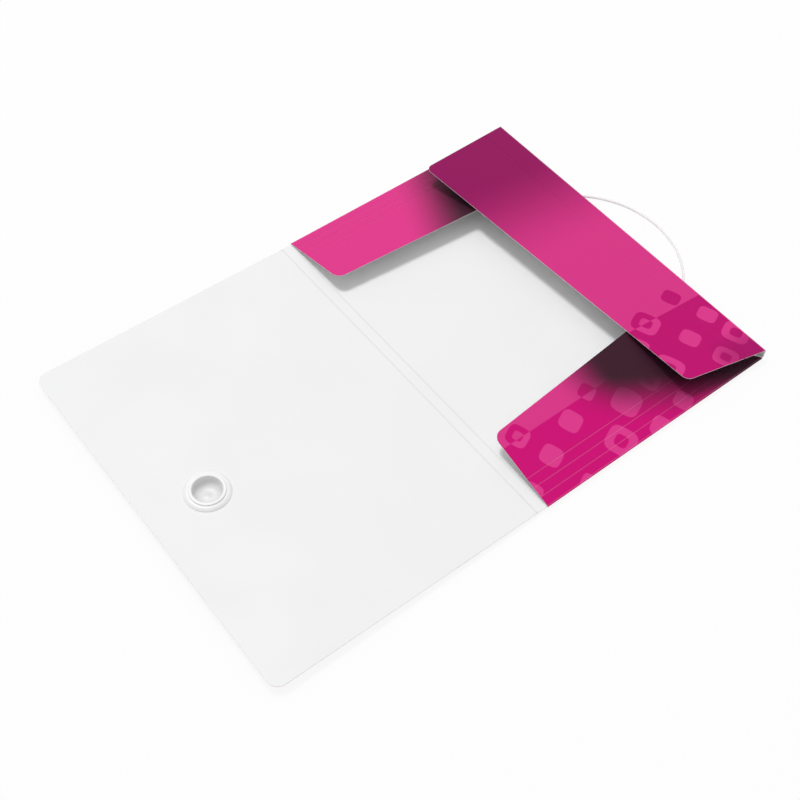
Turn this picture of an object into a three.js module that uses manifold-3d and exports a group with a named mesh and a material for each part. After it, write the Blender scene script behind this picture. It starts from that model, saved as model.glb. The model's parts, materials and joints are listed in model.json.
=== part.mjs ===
// Three flap elastic folder for A4 papers, lying open on a table.
// It is cut and creased from one thin plastic sheet: front cover, spine, back, a flap at the top and
// at the bottom, and a narrow wall with a deep side flap at the fore-edge. A hollow push-through
// button sits in the cover, and a round elastic is anchored in the back by two T-shaped end tags.
// Millimetres, +Z up. X runs from the cover to the fore-edge, Y from the bottom to the top.

import * as THREE from 'three';
import { mergeVertices } from 'three/addons/utils/BufferGeometryUtils.js';
import Module from 'manifold-3d';

// The sheet and its panels
const SHEET_THICKNESS = 0.5;
const FOLDER_HEIGHT = 320;
const BACK_WIDTH = 226.5;
const SPINE_WIDTH = 9;
const COVER_WIDTH = 228;
const COVER_CORNER_RADIUS = 9;
const WALL_HEIGHT = 7.25;
const RELIEF_RADIUS = 2;

// Creases: the gap between neighbouring panels, and between two faces folded right over
const CREASE_GAP = 0.3;
const FOLD_CLEARANCE = 0.3;
const SCORE_WIDTH = 0.6;
const SCORE_DEPTH = 0.15;

// End flaps, at the top and the bottom of the back
const END_FLAP_LIFT = 12.2;
const END_FLAP_SPINE_CLEARANCE = 0.5;
const END_FLAP_WALL_CLEARANCE = 1.8;
const END_FLAP_NEAR_DEPTH = 65.5;
const END_FLAP_FAR_DEPTH = 77.5;
const END_FLAP_FREE_SETBACK = 2.2;
const END_FLAP_TAPER_RUN = 74.5;
const END_FLAP_CORNER_RADIUS = 8;
const END_FLAP_SCORE_PITCH = 8.3;
const END_FLAP_SCORE_COUNT = 3;

// Side flap, which lies over both end flaps
const SIDE_FLAP_TOP_DEPTH = 95.6;
const SIDE_FLAP_BOTTOM_DEPTH = 77.6;
const SIDE_FLAP_END_TAPER = 12;
const SIDE_FLAP_CORNER_RADIUS = 7;
const SIDE_FLAP_SCORE_DISTANCE = 21.5;
const SIDE_FLAP_REST_GAP = 0.8;
const SIDE_TOP_INSET = 1.6;

// Closure button: a cup pushed through the cover from outside, with a snap ring inside
const CLOSURE_OFFSET = -4;
const BUTTON_EDGE_DISTANCE = 49.5;
const CUP_BORE_RADIUS = 11.5;
const CUP_OUTER_RADIUS = 13.3;
const CUP_RIM_RADIUS = 14;
const CUP_RIM_HEIGHT = 0.9;
const CUP_FLOOR = 1.2;
const COLLAR_RADIUS = 16.5;
const COLLAR_THICKNESS = 0.8;
const HEAD_RADIUS = 15.5;
const HEAD_THICKNESS = 2.2;
const GROOVE_HEIGHT = 3.2;
const EDGE_ROUND = 0.6;
const RING_RADIUS = 17.75;
const RING_THICKNESS = 1.6;
const RING_EDGE_HEIGHT = 0.3;
const RING_FLAT_WIDTH = 0.9;
const RING_DOME_STEPS = 5;
const BUTTON_CLEARANCE = 0.3;

// Elastic and its end tags
const ELASTIC_DIAMETER = 2.2;
const ELASTIC_SIDES = 8;
const ELASTIC_STEPS = 80;
const ELASTIC_FLOOR_GAP = 0.1;
const ELASTIC_TOP_GAP = 0.5;
const ELASTIC_END_GAP = 0.3;
const ELASTIC_HOLE_DIAMETER = 5.5;
const TAG_DIAMETER = 3;
const TAG_BAR_LENGTH = 14;
const TAG_SOCKET_LENGTH = 5;
const TAG_SEAT_CLEARANCE = 0.3;

// Upper half of the elastic's route, from its tag to the middle of the loop: distance from the
// fore-edge crease, distance from the closure line, and the share of the climb from table to tag
const ELASTIC_HALF_ROUTE = [
  [-19.7, 78.1, 1], [-17.9, 77.3, 1], [-16.1, 76.4, 1], [-14.5, 75.6, 0.925], [-13.2, 75.0, 0.72],
  [-11.8, 74.4, 0.28], [-10.5, 73.8, 0.075], [-8.9, 73.0, 0], [-2.8, 69.3, 0], [5.3, 63.3, 0],
  [15.5, 53.1, 0], [23.7, 41.3, 0], [29.8, 28.3, 0], [33.5, 14.3, 0], [34.8, 0, 0],
];

// Facets
const CORNER_SEGMENTS = 10;
const ROUND_SEGMENTS = 64;
const TAG_SEGMENTS = 20;

// Worked out from the sizes above
const halfHeight = FOLDER_HEIGHT / 2;
const edgeGap = CREASE_GAP / 2;
const foldGap = FOLD_CLEARANCE / 2;
const tableToSheet = ELASTIC_FLOOR_GAP + ELASTIC_DIAMETER + ELASTIC_TOP_GAP;
const sheetTop = tableToSheet + SHEET_THICKNESS;
const creaseLevel = sheetTop + foldGap;
const buttonDrop = COLLAR_THICKNESS + BUTTON_CLEARANCE + GROOVE_HEIGHT + HEAD_THICKNESS;
const elasticLow = ELASTIC_FLOOR_GAP + ELASTIC_DIAMETER / 2;
const elasticHigh = sheetTop + TAG_SEAT_CLEARANCE + TAG_DIAMETER / 2;

const degrees = THREE.MathUtils.degToRad;

const wasm = await Module();
wasm.setup();

const materials = {
  pinkSheet: { color: 0xe0358c, roughness: 0.38, metalness: 0 },
  whiteSheet: { color: 0xf2f2f2, roughness: 0.45, metalness: 0 },
  buttonPlastic: { color: 0xf6f6f6, roughness: 0.3, metalness: 0 },
  elasticBraid: { color: 0xf4f3f0, roughness: 0.8, metalness: 0 },
  tagPlastic: { color: 0xeceae4, roughness: 0.5, metalness: 0 },
};

function part(name, geometry, look) {
  const mesh = new THREE.Mesh(geometry, new THREE.MeshStandardMaterial(materials[look]));
  mesh.name = name;
  return mesh;
}

// Closed solid with shared corners, ready for cutting and joining
function solidFrom(geometry) {
  const bare = geometry.clone();
  bare.deleteAttribute('normal');
  bare.deleteAttribute('uv');
  const merged = mergeVertices(bare, 1e-4);
  return new wasm.Manifold(new wasm.Mesh({
    numProp: 3,
    vertProperties: Float32Array.from(merged.attributes.position.array),
    triVerts: Uint32Array.from(merged.index.array),
  }));
}

function geometryFrom(solid) {
  const mesh = solid.getMesh();
  const geometry = new THREE.BufferGeometry();
  geometry.setAttribute('position', new THREE.BufferAttribute(mesh.vertProperties, 3));
  geometry.setIndex(new THREE.BufferAttribute(mesh.triVerts, 1));
  geometry.computeVertexNormals();
  return geometry;
}

// Outline through the given corners [x, y, radius], each one rounded by an arc
function roundedOutline(corners) {
  const points = corners.map(([x, y]) => new THREE.Vector2(x, y));
  const clockwise = THREE.ShapeUtils.isClockWise(points);
  const outline = new THREE.Shape();
  corners.forEach(([, , radius], i) => {
    const corner = points[i];
    const back = points.at(i - 1).clone().sub(corner).normalize();
    const ahead = points[(i + 1) % points.length].clone().sub(corner).normalize();
    const halfAngle = Math.acos(THREE.MathUtils.clamp(back.dot(ahead), -1, 1)) / 2;
    const setback = radius / Math.tan(halfAngle);
    const start = corner.clone().addScaledVector(back, setback);
    const end = corner.clone().addScaledVector(ahead, setback);
    const middle = back.clone().add(ahead).normalize();
    const centre = corner.clone().addScaledVector(middle, radius / Math.sin(halfAngle));
    if (i === 0) outline.moveTo(start.x, start.y);
    else outline.lineTo(start.x, start.y);
    if (radius > 0) {
      const startAngle = start.clone().sub(centre).angle();
      const endAngle = end.clone().sub(centre).angle();
      outline.absarc(centre.x, centre.y, radius, startAngle, endAngle, clockwise);
    }
  });
  outline.closePath();
  return outline;
}

// Panel of sheet in its crease frame: the crease is local Y, the panel leaves it along local X,
// and its inner face looks up from just below the crease line
function sheetPanel(corners, scores = []) {
  const outer = -foldGap - SHEET_THICKNESS;
  const plate = new THREE.ExtrudeGeometry(roundedOutline(corners), {
    depth: SHEET_THICKNESS,
    bevelEnabled: false,
    curveSegments: CORNER_SEGMENTS,
  }).translate(0, 0, outer);
  let solid = solidFrom(plate);
  for (const distance of scores) {
    const groove = new THREE.BoxGeometry(SCORE_WIDTH, FOLDER_HEIGHT * 2, SCORE_DEPTH * 2);
    solid = solid.subtract(solidFrom(groove.translate(distance, 0, outer)));
  }
  return geometryFrom(solid);
}

// Frame on a crease: local X points away from the parent panel, turned up by the given angle
function creaseFrame(parent, x, y, z, heading, fold) {
  const frame = new THREE.Group();
  frame.position.set(x, y, z);
  frame.rotation.set(0, -fold, heading, 'ZYX');
  parent.add(frame);
  return frame;
}

const folder = new THREE.Group();

// Route of the elastic in the folder's frame, mirrored about the closure line
const halfRoute = ELASTIC_HALF_ROUTE.map(([fromEdge, fromLine, climb]) => new THREE.Vector3(
  BACK_WIDTH + fromEdge,
  fromLine,
  THREE.MathUtils.lerp(elasticLow, elasticHigh, climb),
));
const mirroredRoute = halfRoute.slice(0, -1).reverse().map((p) => new THREE.Vector3(p.x, -p.y, p.z));
const elasticRoute = [...halfRoute, ...mirroredRoute].map((p) => p.setY(p.y + CLOSURE_OFFSET));

// The elastic crosses the sheet between the last raised point and the first low one
function sheetCrossing(points) {
  const below = points.findIndex((p) => p.z < tableToSheet);
  return points[below - 1].clone().lerp(points[below], 0.75);
}

function backPanel() {
  const near = edgeGap;
  const far = BACK_WIDTH - edgeGap;
  const side = halfHeight - edgeGap;
  const outline = roundedOutline([
    [near, -side, 0], [far, -side, RELIEF_RADIUS], [far, side, RELIEF_RADIUS], [near, side, 0],
  ]);
  const plate = new THREE.ExtrudeGeometry(outline, {
    depth: SHEET_THICKNESS,
    bevelEnabled: false,
    curveSegments: CORNER_SEGMENTS,
  }).translate(0, 0, tableToSheet);
  let solid = solidFrom(plate);
  for (const crossing of [sheetCrossing(elasticRoute), sheetCrossing([...elasticRoute].reverse())]) {
    const punch = new THREE.CylinderGeometry(
      ELASTIC_HOLE_DIAMETER / 2, ELASTIC_HOLE_DIAMETER / 2, SHEET_THICKNESS * 4, TAG_SEGMENTS,
    );
    punch.rotateX(Math.PI / 2).translate(crossing.x, crossing.y, tableToSheet + SHEET_THICKNESS / 2);
    solid = solid.subtract(solidFrom(punch));
  }
  return geometryFrom(solid);
}

// Straight strip between two creases, with its top end cut back by the given inset
function creasedStrip(width, topInset) {
  const end = halfHeight - edgeGap;
  const top = end - topInset;
  return sheetPanel([
    [edgeGap, -end, 0], [width - edgeGap, -end, 0], [width - edgeGap, top, 0], [edgeGap, top, 0],
  ]);
}

// Cover with two rounded free corners and the hole for the button
function frontCover() {
  const side = halfHeight - edgeGap;
  const panel = solidFrom(sheetPanel([
    [edgeGap, -side, 0], [COVER_WIDTH, -side, COVER_CORNER_RADIUS],
    [COVER_WIDTH, side, COVER_CORNER_RADIUS], [edgeGap, side, 0],
  ]));
  const holeRadius = CUP_OUTER_RADIUS + BUTTON_CLEARANCE;
  const punch = new THREE.CylinderGeometry(holeRadius, holeRadius, SHEET_THICKNESS * 6, ROUND_SEGMENTS);
  punch.rotateX(Math.PI / 2).translate(COVER_WIDTH - BUTTON_EDGE_DISTANCE, -CLOSURE_OFFSET, 0);
  return geometryFrom(panel.subtract(solidFrom(punch)));
}

// End flap: its spine end is cut almost square, its free edge runs deeper towards the fore-edge,
// and a long taper keeps it out of the side flap's way. The side is +1 at the bottom, -1 at the top.
function endFlap(side) {
  const foldEnd = BACK_WIDTH - END_FLAP_WALL_CLEARANCE;
  const taperStart = BACK_WIDTH - END_FLAP_TAPER_RUN;
  const corners = [
    [edgeGap, END_FLAP_SPINE_CLEARANCE, 0],
    [END_FLAP_NEAR_DEPTH, END_FLAP_FREE_SETBACK, END_FLAP_CORNER_RADIUS],
    [END_FLAP_FAR_DEPTH, taperStart, END_FLAP_CORNER_RADIUS],
    [edgeGap, foldEnd, 0],
  ];
  const scores = Array.from({ length: END_FLAP_SCORE_COUNT }, (_, i) => (i + 1) * END_FLAP_SCORE_PITCH);
  return sheetPanel(corners.map(([depth, along, radius]) => [depth, along * side, radius]), scores);
}

// Side flap: both ends taper towards its free edge, which runs deeper at the top, and its top end
// starts a little below the back's corner, like the wall's
function sideFlap() {
  const foldEnd = halfHeight - edgeGap;
  const freeEnd = halfHeight - SIDE_FLAP_END_TAPER;
  return sheetPanel([
    [edgeGap, -foldEnd, 0],
    [SIDE_FLAP_BOTTOM_DEPTH, -freeEnd, SIDE_FLAP_CORNER_RADIUS],
    [SIDE_FLAP_TOP_DEPTH, freeEnd - SIDE_TOP_INSET, SIDE_FLAP_CORNER_RADIUS],
    [edgeGap, foldEnd - SIDE_TOP_INSET, 0],
  ], [SIDE_FLAP_SCORE_DISTANCE]);
}

// Turned piece from a profile of [radius, height] points, standing on the local Z axis
function turned(profile, segments) {
  const lathe = new THREE.LatheGeometry(profile.map(([r, z]) => new THREE.Vector2(r, z)), segments);
  return geometryFrom(solidFrom(lathe.rotateX(Math.PI / 2)));
}

// Button cup in the cover's crease frame: its mouth opens inside the folder, its tube passes the
// cover, and outside it has a collar, a groove for the elastic and a rounded head
function buttonCup() {
  const inner = -foldGap;
  const outer = inner - SHEET_THICKNESS;
  const ringTop = inner + BUTTON_CLEARANCE + RING_THICKNESS;
  const rimFoot = ringTop + BUTTON_CLEARANCE;
  const rimTop = rimFoot + CUP_RIM_HEIGHT;
  const collarTop = outer - BUTTON_CLEARANCE;
  const collarFoot = collarTop - COLLAR_THICKNESS;
  const headTop = collarFoot - GROOVE_HEIGHT;
  const headFoot = headTop - HEAD_THICKNESS;
  return turned([
    [0, headFoot],
    [HEAD_RADIUS - EDGE_ROUND * 2, headFoot],
    [HEAD_RADIUS - EDGE_ROUND * 0.6, headFoot + EDGE_ROUND * 0.6],
    [HEAD_RADIUS, headFoot + EDGE_ROUND * 1.4],
    [HEAD_RADIUS - EDGE_ROUND * 0.3, headTop - EDGE_ROUND * 0.3],
    [HEAD_RADIUS - EDGE_ROUND, headTop],
    [CUP_OUTER_RADIUS, headTop],
    [CUP_OUTER_RADIUS, collarFoot],
    [COLLAR_RADIUS - EDGE_ROUND, collarFoot],
    [COLLAR_RADIUS, (collarFoot + collarTop) / 2],
    [COLLAR_RADIUS, collarTop],
    [CUP_OUTER_RADIUS, collarTop],
    [CUP_OUTER_RADIUS, rimFoot],
    [CUP_RIM_RADIUS, rimFoot],
    [CUP_RIM_RADIUS, rimTop - EDGE_ROUND],
    [CUP_RIM_RADIUS - EDGE_ROUND * 0.3, rimTop - EDGE_ROUND * 0.3],
    [CUP_RIM_RADIUS - EDGE_ROUND, rimTop],
    [CUP_BORE_RADIUS + EDGE_ROUND, rimTop],
    [CUP_BORE_RADIUS, rimTop - EDGE_ROUND],
    [CUP_BORE_RADIUS, headFoot + CUP_FLOOR + EDGE_ROUND],
    [CUP_BORE_RADIUS - EDGE_ROUND, headFoot + CUP_FLOOR],
    [0, headFoot + CUP_FLOOR],
  ], ROUND_SEGMENTS);
}

// Snap ring round the cup's tube, domed from its thick inner part down to a thin outer edge
function buttonRing() {
  const foot = -foldGap + BUTTON_CLEARANCE;
  const top = foot + RING_THICKNESS;
  const edge = foot + RING_EDGE_HEIGHT;
  const bore = CUP_OUTER_RADIUS + BUTTON_CLEARANCE;
  const domeStart = bore + RING_FLAT_WIDTH;
  const dome = Array.from({ length: RING_DOME_STEPS + 1 }, (_, i) => {
    const angle = (i / RING_DOME_STEPS) * (Math.PI / 2);
    return [
      domeStart + (RING_RADIUS - domeStart) * Math.cos(angle),
      edge + (top - edge) * Math.sin(angle),
    ];
  });
  return turned([[bore, foot], [RING_RADIUS, foot], ...dome, [bore, top], [bore, foot]], ROUND_SEGMENTS);
}

// Round cord swept along its route, as an even-sided tube that holds the real diameter
function elasticTube() {
  const radius = ELASTIC_DIAMETER / 2;
  const section = new THREE.Shape();
  for (let i = 0; i < ELASTIC_SIDES; i += 1) {
    const angle = ((i + 0.5) / ELASTIC_SIDES) * Math.PI * 2;
    const corner = [radius * Math.cos(angle), radius * Math.sin(angle)];
    if (i === 0) section.moveTo(...corner);
    else section.lineTo(...corner);
  }
  section.closePath();
  return geometryFrom(solidFrom(new THREE.ExtrudeGeometry(section, {
    steps: ELASTIC_STEPS,
    extrudePath: new THREE.CatmullRomCurve3(elasticRoute, false, 'centripetal'),
  })));
}

// T-shaped end tag: a bar across the cord with rounded ends, and a short socket on the cord's end
function endTag() {
  const radius = TAG_DIAMETER / 2;
  const bar = new THREE.CapsuleGeometry(radius, TAG_BAR_LENGTH - TAG_DIAMETER, 6, TAG_SEGMENTS);
  const socket = new THREE.CylinderGeometry(radius, radius, TAG_SOCKET_LENGTH, TAG_SEGMENTS);
  socket.rotateZ(Math.PI / 2).translate(TAG_SOCKET_LENGTH / 2, 0, 0);
  return geometryFrom(solidFrom(bar).add(solidFrom(socket)).simplify(1e-3));
}

// Tag at one end of the route, with its socket's mouth just short of the cord
function placedTag(name, end, next) {
  const along = next.clone().sub(end).normalize();
  const tag = part(name, endTag(), 'tagPlastic');
  tag.position.copy(end).addScaledVector(along, -ELASTIC_END_GAP - TAG_SOCKET_LENGTH);
  tag.rotation.z = Math.atan2(along.y, along.x);
  return tag;
}

// The cover rests on the foot of its button: the tilt that brings the foot down to the table
function coverTilt() {
  const footReach = COVER_WIDTH - BUTTON_EDGE_DISTANCE - (HEAD_RADIUS - EDGE_ROUND * 2);
  const footDrop = foldGap + SHEET_THICKNESS + buttonDrop;
  return Math.atan2(footDrop, footReach) - Math.asin(creaseLevel / Math.hypot(footReach, footDrop));
}

// The side flap lies over the deepest corner of the end flaps, with a small gap
function sideFlapRise() {
  const lift = degrees(END_FLAP_LIFT);
  const faceOffset = foldGap + SHEET_THICKNESS;
  const cornerTop = END_FLAP_FAR_DEPTH * Math.sin(lift) + faceOffset * Math.cos(lift);
  const climb = cornerTop + SIDE_FLAP_REST_GAP - WALL_HEIGHT - foldGap;
  return Math.atan2(climb, END_FLAP_TAPER_RUN);
}

// Back, with everything that is anchored in it
folder.add(part('back_panel', backPanel(), 'whiteSheet'));
folder.add(part('elastic_cord', elasticTube(), 'elasticBraid'));
folder.add(placedTag('elastic_end_tag_top', elasticRoute[0], elasticRoute[1]));
folder.add(placedTag('elastic_end_tag_bottom', elasticRoute.at(-1), elasticRoute.at(-2)));

// Spine and cover, folding up from the back's left edge
const spineFrame = creaseFrame(folder, 0, 0, creaseLevel, Math.PI, 0);
spineFrame.add(part('spine_panel', creasedStrip(SPINE_WIDTH, 0), 'whiteSheet'));
const coverFrame = creaseFrame(spineFrame, SPINE_WIDTH, 0, 0, 0, coverTilt());
coverFrame.add(part('front_cover', frontCover(), 'whiteSheet'));
for (const [name, shape] of [['button_cup', buttonCup], ['button_snap_ring', buttonRing]]) {
  const piece = part(name, shape(), 'buttonPlastic');
  piece.position.set(COVER_WIDTH - BUTTON_EDGE_DISTANCE, -CLOSURE_OFFSET, 0);
  coverFrame.add(piece);
}

// End flaps, folded over the back and springing up a little
const endFold = Math.PI - degrees(END_FLAP_LIFT);
const topFrame = creaseFrame(folder, 0, halfHeight, creaseLevel, Math.PI / 2, endFold);
topFrame.add(part('top_flap', endFlap(-1), 'pinkSheet'));
const bottomFrame = creaseFrame(folder, 0, -halfHeight, creaseLevel, -Math.PI / 2, endFold);
bottomFrame.add(part('bottom_flap', endFlap(1), 'pinkSheet'));

// Fore-edge wall standing up, and the side flap folded over from its top
const wallFrame = creaseFrame(folder, BACK_WIDTH, 0, creaseLevel, 0, Math.PI / 2);
wallFrame.add(part('side_wall', creasedStrip(WALL_HEIGHT, SIDE_TOP_INSET), 'pinkSheet'));
const sideFrame = creaseFrame(wallFrame, WALL_HEIGHT, 0, 0, 0, Math.PI / 2 - sideFlapRise());
sideFrame.add(part('side_flap', sideFlap(), 'pinkSheet'));

// Origin under the middle of the folder without its free elastic, on the table
folder.updateMatrixWorld(true);
const reach = new THREE.Box3();
folder.traverse((object) => {
  if (object.isMesh && object.name !== 'elastic_cord') reach.expandByObject(object, true);
});
folder.position.x = -(reach.min.x + reach.max.x) / 2;
folder.updateMatrixWorld(true);

export default folder;
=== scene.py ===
"""Looks of the three flap elastic folder, lying open on a pale table. Metres, in the folder's own frame."""

import json
import math

import bmesh
import bpy
from mathutils import Matrix, Quaternion, Vector


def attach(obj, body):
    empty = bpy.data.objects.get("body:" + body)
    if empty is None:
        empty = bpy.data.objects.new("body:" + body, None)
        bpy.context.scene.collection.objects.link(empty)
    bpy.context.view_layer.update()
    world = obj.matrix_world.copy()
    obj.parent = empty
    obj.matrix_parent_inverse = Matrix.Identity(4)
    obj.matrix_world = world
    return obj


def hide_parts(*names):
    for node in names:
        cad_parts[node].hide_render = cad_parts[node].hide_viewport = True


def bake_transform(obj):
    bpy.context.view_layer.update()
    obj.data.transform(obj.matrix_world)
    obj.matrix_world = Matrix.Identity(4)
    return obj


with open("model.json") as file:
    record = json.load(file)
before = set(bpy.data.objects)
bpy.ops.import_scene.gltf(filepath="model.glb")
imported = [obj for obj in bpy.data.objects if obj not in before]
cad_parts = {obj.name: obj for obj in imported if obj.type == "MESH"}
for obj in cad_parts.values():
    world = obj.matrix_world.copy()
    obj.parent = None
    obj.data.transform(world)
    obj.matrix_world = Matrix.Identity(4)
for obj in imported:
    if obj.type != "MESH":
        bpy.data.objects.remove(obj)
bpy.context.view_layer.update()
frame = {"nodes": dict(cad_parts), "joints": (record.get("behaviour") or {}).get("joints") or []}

MM = 0.001
ACROSS = Vector((1, 0, 0))
UPWARDS = Vector((0, 1, 0))
OVERHEAD = Vector((0, 0, 1))
NOWHERE = Vector((0, 0, 0))
CREASE = {joint["name"]: Vector(joint["pos_m"]) for joint in frame["joints"]}

# Sizes of the sheet and the closure, in millimetres
SHEET_THICKNESS = 0.5
CREASE_HALF_GAP = 0.15
BACK_WIDTH = 226.5
SPINE_WIDTH = 9
WALL_HEIGHT = 7.25
HALF_HEIGHT = 160
SIDE_TOP_INSET = 1.6
END_FLAP_SPINE_CLEARANCE = 0.5
END_FLAP_WALL_CLEARANCE = 1.8
END_FLAP_LINE_PITCH = 8.3
END_FLAP_LINES = 3.0
SIDE_FLAP_LINE = 21.5
CLOSURE_LINE = -4
BUTTON_FROM_CREASE = 178.5
ELASTIC_DIAMETER = 2.2
ELASTIC_LOW = 1.2
ELASTIC_HIGH = 5.1

# Layout of the print, a fade and the painted shade and shadows on the flat sheet, in millimetres: to the
# right of the spine's crease with the back, and up from the middle. Squares have a size in parts of their
# spacing.
BAND_TOP = -88
BAND_FOOT = -213
BAND_SOFTNESS = 0.4
SQUARES_PAST_TOP = 20
SQUARES_PAST_FOOT = 12
SQUARE_SPACING = 33.0
SQUARE_TURN = 0.42
SMALLEST_SQUARE = 0.19
LARGEST_SQUARE = 0.36
CORE_SHARE = 0.45
CORE_FROM_PICK = 0.6
# Painted shade: share of plum over the magenta band on the side flap
PAINTED_SHADE_IN_SIDE_BAND = 0.26
# Plum fade, darker towards the top end of the side flap
TOP_FADE_UP = (4, 110)
TOP_FADE_SHARES = (0.09, 1)
TOP_FADE_RIGHT = (190, 232)
# Painted plum shade at the lower end of the side flap
FOOT_PAINTED_SHADE_DOWN = (-120, -150)
FOOT_PAINTED_SHADE_SHARES = (0, 0.55)
FOOT_PAINTED_SHADE_LEFT = (288, 262)
# Painted shadows of the side flap, dark, on the top and bottom flaps beside it
TOP_PAINTED_SHADOW_SLOPE = (1, 0.48, 0)
TOP_PAINTED_SHADOW_RUN = (182, 242)
FOOT_PAINTED_SHADOW_SLOPE = (1, -1.75, 0)
FOOT_PAINTED_SHADOW_RUN = (400, 488)
FOOT_PAINTED_SHADOW_RIGHT = (64, 112)
FOLD_MARGIN = 0.05

# Colours of the real materials, and of painted shade and shadows, as linear light
SHEET_WHITE = (0.875, 0.875, 0.878)
# Painted shade along the creases of the white inside
SHEET_CREASE_SHADE = (0.60, 0.60, 0.61)
SHEET_EDGE = (0.80, 0.72, 0.76)
BRIGHT_PINK = (0.73, 0.040, 0.256)
MOTIF_PINK = (0.76, 0.044, 0.275)
DEEP_MAGENTA = (0.64, 0.002, 0.185)
# Plum of the fade at the side flap's top end, and of the painted shade on its band and lower end
PLUM_SHADE = (0.285, 0.004, 0.105)
# Painted shadow of the side flap on the end flaps
PAINTED_SHADOW_DARK = (0.045, 0.011, 0.023)
PALE_LINE = (0.86, 0.28, 0.50)
BUTTON_WHITE = (0.92, 0.92, 0.92)
# Painted shade down in the button's hollow
BUTTON_HOLLOW_SHADE = (0.62, 0.62, 0.625)
TAG_WHITE = (0.80, 0.79, 0.75)
ELASTIC_WHITE = (0.98, 0.98, 0.985)
ELASTIC_SHADED = (0.93, 0.93, 0.935)


# Camera, in the place that the photograph was taken from

PHOTO_WIDTH_PX = 800
FOCAL_LENGTH_PX = 1312.2
SENSOR_WIDTH = 36
FARTHEST_SEEN = 20
CAMERA_PLACE = (-0.39325, -0.47737, 0.80796)
CAMERA_RIGHT = (0.78923, -0.61386, 0.01712)
CAMERA_DOWN = (-0.48751, -0.64325, -0.59040)
CAMERA_FORWARD = (0.37343, 0.45761, -0.80693)


def set_camera():
    lens = bpy.data.cameras.new("camera")
    lens.sensor_width = SENSOR_WIDTH
    lens.lens = FOCAL_LENGTH_PX * SENSOR_WIDTH / PHOTO_WIDTH_PX
    lens.clip_end = FARTHEST_SEEN
    camera = bpy.data.objects.new("camera", lens)
    bpy.context.scene.collection.objects.link(camera)
    turn = Matrix((CAMERA_RIGHT, -Vector(CAMERA_DOWN), -Vector(CAMERA_FORWARD))).transposed().to_4x4()
    camera.matrix_world = Matrix.Translation(CAMERA_PLACE) @ turn
    bpy.context.scene.camera = camera


set_camera()


# Node wiring

def socket_by_name(sockets, name):
    return next(socket for socket in sockets if socket.name == name and socket.enabled)


def feed(tree, socket, value):
    """Links a socket to another one, or gives it a number, a vector or a colour."""
    if isinstance(value, bpy.types.NodeSocket):
        tree.links.new(value, socket)
    elif socket.type == "RGBA" and len(value) == 3:
        socket.default_value = (*value, 1)
    else:
        socket.default_value = value


def feed_in_order(tree, sockets, values):
    for socket, value in zip(sockets, values):
        feed(tree, socket, value)


def place_node(tree, kind, settings=None, **inputs):
    node = tree.nodes.new(kind)
    for name, value in (settings or {}).items():
        setattr(node, name, value)
    for name, value in inputs.items():
        feed(tree, socket_by_name(node.inputs, name.replace("_", " ")), value)
    return node


def maths(tree, operation, *values, clamp=False):
    node = place_node(tree, "ShaderNodeMath", {"operation": operation, "use_clamp": clamp})
    feed_in_order(tree, node.inputs, values)
    return node.outputs[0]


def product(tree, first, *others):
    for other in others:
        first = maths(tree, "MULTIPLY", first, other)
    return first


def vector_maths(tree, operation, *values):
    node = place_node(tree, "ShaderNodeVectorMath", {"operation": operation})
    feed_in_order(tree, node.inputs, values)
    return node.outputs["Value" if operation == "DOT_PRODUCT" else "Vector"]


def in_millimetres(tree, metres):
    node = place_node(tree, "ShaderNodeVectorMath", {"operation": "SCALE"}, Vector=metres, Scale=1 / MM)
    return node.outputs["Vector"]


def blend_colours(tree, share, first, second):
    node = place_node(tree, "ShaderNodeMix", {"data_type": "RGBA"}, A=first, B=second)
    feed(tree, node.inputs[0], share)
    return socket_by_name(node.outputs, "Result")


def even_ramp(tree, value, low, high, start, end, interpolation="LINEAR"):
    node = place_node(tree, "ShaderNodeMapRange", {"interpolation_type": interpolation})
    feed_in_order(tree, node.inputs, (value, low, high, start, end))
    return node.outputs[0]


def soft_ramp(tree, value, low, high, start=0.0, end=1.0):
    return even_ramp(tree, value, low, high, start, end, "SMOOTHSTEP")


def slanted_ramp(tree, position, slope, low, high):
    """0 up to the slanted line where the sum of place times slope is low, and 1 past the line for high."""
    return soft_ramp(tree, vector_maths(tree, "DOT_PRODUCT", position, slope), low, high)


def new_group(name, inputs, outputs):
    tree = bpy.data.node_groups.new(name, "ShaderNodeTree")
    for label, kind, value in inputs:
        socket = tree.interface.new_socket(label, in_out="INPUT", socket_type="NodeSocket" + kind)
        socket.default_value = value
    for label, kind in outputs:
        tree.interface.new_socket(label, in_out="OUTPUT", socket_type="NodeSocket" + kind)
    entry = tree.nodes.new("NodeGroupInput")
    result = tree.nodes.new("NodeGroupOutput")
    return tree, entry.outputs, result.inputs


def use_group(tree, group, **inputs):
    node = place_node(tree, "ShaderNodeGroup", {"node_tree": group}, **inputs)
    return node.outputs


# Node groups that the finishes share

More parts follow.
